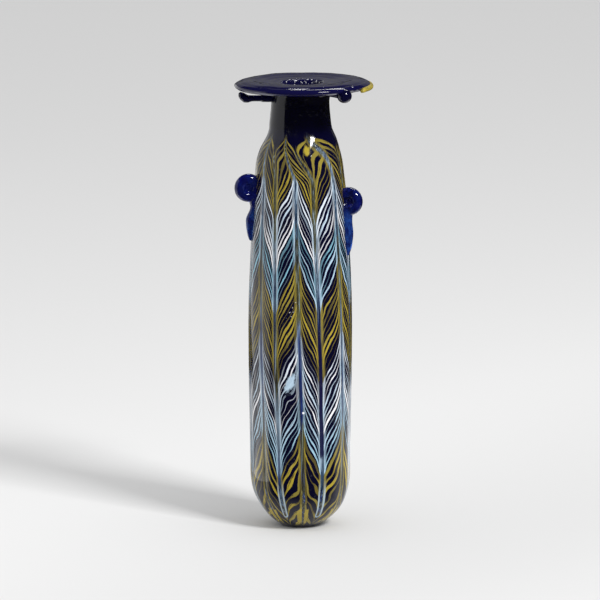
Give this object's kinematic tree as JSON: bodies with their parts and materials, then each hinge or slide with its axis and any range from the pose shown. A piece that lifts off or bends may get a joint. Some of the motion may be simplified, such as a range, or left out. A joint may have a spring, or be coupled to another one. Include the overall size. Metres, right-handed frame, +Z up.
{
  "type": "glass alabastron",
  "caption": "Tall hollow glass flask with a rounded bottom, straight body, short neck, broad rim disk and small ring handles on the shoulder; it holds scented oil.",
  "frame": {"origin": "centre of the flat spot that the flask stands on", "axes": "+Z up along the flask, -Y towards the viewer of the front, +X to that viewer's right"},
  "size_m": [0.0491, 0.048, 0.1602],
  "materials": {
    "cobalt_body": "glossy near-black blue glass, opaque at this thickness, with feathered trails of yellow, white and turquoise rolled in flush",
    "cobalt_clear": "glossy translucent cobalt blue glass",
    "yellow_trail": "opaque yellow glass, slightly worn"
  },
  "bodies": {
    "root": {"flask": "cobalt_body", "ring_handle_left": "cobalt_clear", "ring_handle_right": "cobalt_clear", "neck_lug_left": "cobalt_clear", "neck_lug_right": "cobalt_clear", "rim_trail": "yellow_trail"}
  },
  "joints": []
}
